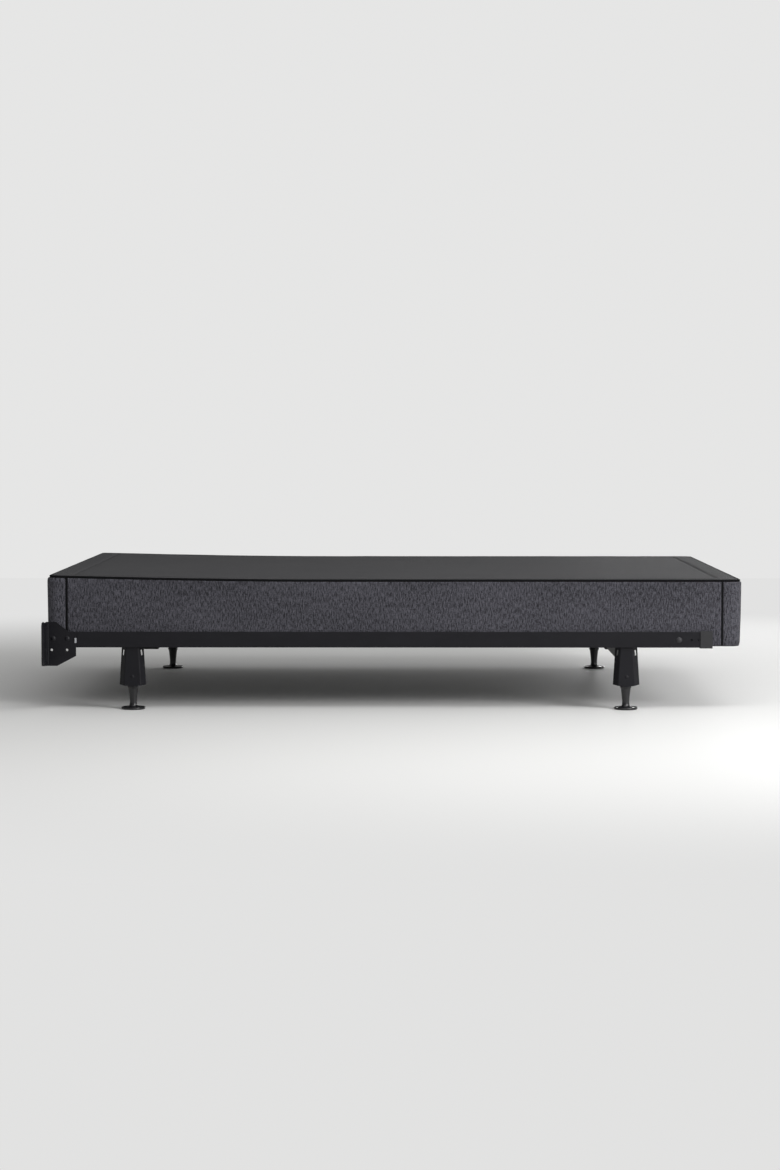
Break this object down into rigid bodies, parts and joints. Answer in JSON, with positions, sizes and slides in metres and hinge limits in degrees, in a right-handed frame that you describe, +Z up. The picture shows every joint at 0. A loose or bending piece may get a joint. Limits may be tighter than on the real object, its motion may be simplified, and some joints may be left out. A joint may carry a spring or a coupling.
{
  "type": "adjustable bed base",
  "caption": "Upholstered box foundation in an adjustable-width steel angle bed frame with headboard brackets, clamped telescoping cross arms, pressed legs and tapered glides.",
  "frame": {"origin": "on the floor, under the middle of the whole base's box", "axes": "+X towards the foot end, +Y towards the far half that slides out, +Z up"},
  "size_m": [1.894, 1.582, 0.358],
  "materials": {
    "frame_steel": "satin black powder coat over steel angle and sheet",
    "rivet_steel": "black-painted rivet heads, slightly glossier",
    "zinc_steel": "zinc plated",
    "stem_steel": "bright plated steel",
    "cap_plastic": "moulded dark grey plastic",
    "glide_plastic": "moulded black plastic, soft sheen",
    "knob_plastic": "moulded black plastic",
    "cover_fabric": "heathered charcoal linen-look weave, slubs running up and down",
    "corner_fabric": "same weave over a soft rolled corner",
    "welt_cord": "black piping cord",
    "top_cloth": "black non-slip cloth with small rubber dots",
    "dust_cloth": "thin black spun-bonded dust cover",
    "pine": "plain sawn softwood",
    "fibreboard": "thin hard fibreboard",
    "felt_pad": "grey needled felt"
  },
  "bodies": {
    "front_half": {"front_side_rail": "frame_steel", "front_rail_end_cap": "cap_plastic", "front_rail_stud": "rivet_steel", "front_headboard_bracket": "frame_steel", "front_bracket_rivets": "rivet_steel", "front_bracket_clip": "zinc_steel", "front_head_leg": "frame_steel", "front_foot_leg": "frame_steel", "front_glide_sockets": "frame_steel", "front_arm_rivets": "rivet_steel", "front_head_arm": "frame_steel", "front_foot_arm": "frame_steel", "head_clamp_housing": "frame_steel", "foot_clamp_housing": "frame_steel"},
    "back_half": {"back_side_rail": "frame_steel", "back_rail_end_cap": "cap_plastic", "back_rail_stud": "rivet_steel", "back_headboard_bracket": "frame_steel", "back_bracket_rivets": "rivet_steel", "back_bracket_clip": "zinc_steel", "back_head_leg": "frame_steel", "back_foot_leg": "frame_steel", "back_glide_sockets": "frame_steel", "back_arm_rivets": "rivet_steel", "back_arm_spacers": "frame_steel", "back_head_arm": "frame_steel", "back_foot_arm": "frame_steel", "head_guide_loop": "frame_steel", "foot_guide_loop": "frame_steel"},
    "foundation": {"front_side_cover": "cover_fabric", "back_side_cover": "cover_fabric", "head_end_cover": "cover_fabric", "foot_end_cover": "cover_fabric", "front_head_corner_piece": "corner_fabric", "front_foot_corner_piece": "corner_fabric", "back_head_corner_piece": "corner_fabric", "back_foot_corner_piece": "corner_fabric", "side_wood_rails": "pine", "end_wood_rails": "pine", "centre_wood_rail": "pine", "deck_slats": "pine", "corner_blocks": "pine", "deck_board": "fibreboard", "top_pad": "felt_pad", "non_slip_top": "top_cloth", "dust_cover": "dust_cloth", "top_welt": "welt_cord", "seam_welts": "welt_cord"},
    "front_head_foot": {"front_head_glide": "glide_plastic", "front_head_glide_stem": "stem_steel"},
    "front_foot_foot": {"front_foot_glide": "glide_plastic", "front_foot_glide_stem": "stem_steel"},
    "back_head_foot": {"back_head_glide": "glide_plastic", "back_head_glide_stem": "stem_steel"},
    "back_foot_foot": {"back_foot_glide": "glide_plastic", "back_foot_glide_stem": "stem_steel"},
    "head_clamp": {"head_clamp_screw": "stem_steel", "head_clamp_knob": "knob_plastic"},
    "foot_clamp": {"foot_clamp_screw": "stem_steel", "foot_clamp_knob": "knob_plastic"}
  },
  "joints": [
    {"name": "width_slide", "type": "slide", "parent": "front_half", "child": "back_half", "axis": [0, 1, 0], "range_m": [0, 0.1524]},
    {"name": "foundation_lift", "type": "slide", "parent": "front_half", "child": "foundation", "axis": [0, 0, 1], "range_m": [0, 0.06]},
    {"name": "front_head_glide_turn", "type": "hinge", "parent": "front_half", "child": "front_head_foot", "pos_m": [-0.714, -0.648, 0.03], "axis": [0, 0, 1], "continuous": true},
    {"name": "front_foot_glide_turn", "type": "hinge", "parent": "front_half", "child": "front_foot_foot", "pos_m": [0.635, -0.648, 0.03], "axis": [0, 0, 1], "continuous": true},
    {"name": "back_head_glide_turn", "type": "hinge", "parent": "back_half", "child": "back_head_foot", "pos_m": [-0.714, 0.648, 0.03], "axis": [0, 0, 1], "continuous": true},
    {"name": "back_foot_glide_turn", "type": "hinge", "parent": "back_half", "child": "back_foot_foot", "pos_m": [0.635, 0.648, 0.03], "axis": [0, 0, 1], "continuous": true},
    {"name": "head_clamp_turn", "type": "hinge", "parent": "front_half", "child": "head_clamp", "pos_m": [-0.684, 0.134, 0.146], "axis": [1, 0, 0], "range_deg": [0, 450]},
    {"name": "foot_clamp_turn", "type": "hinge", "parent": "front_half", "child": "foot_clamp", "pos_m": [0.665, 0.134, 0.146], "axis": [1, 0, 0], "range_deg": [0, 450]}
  ]
}
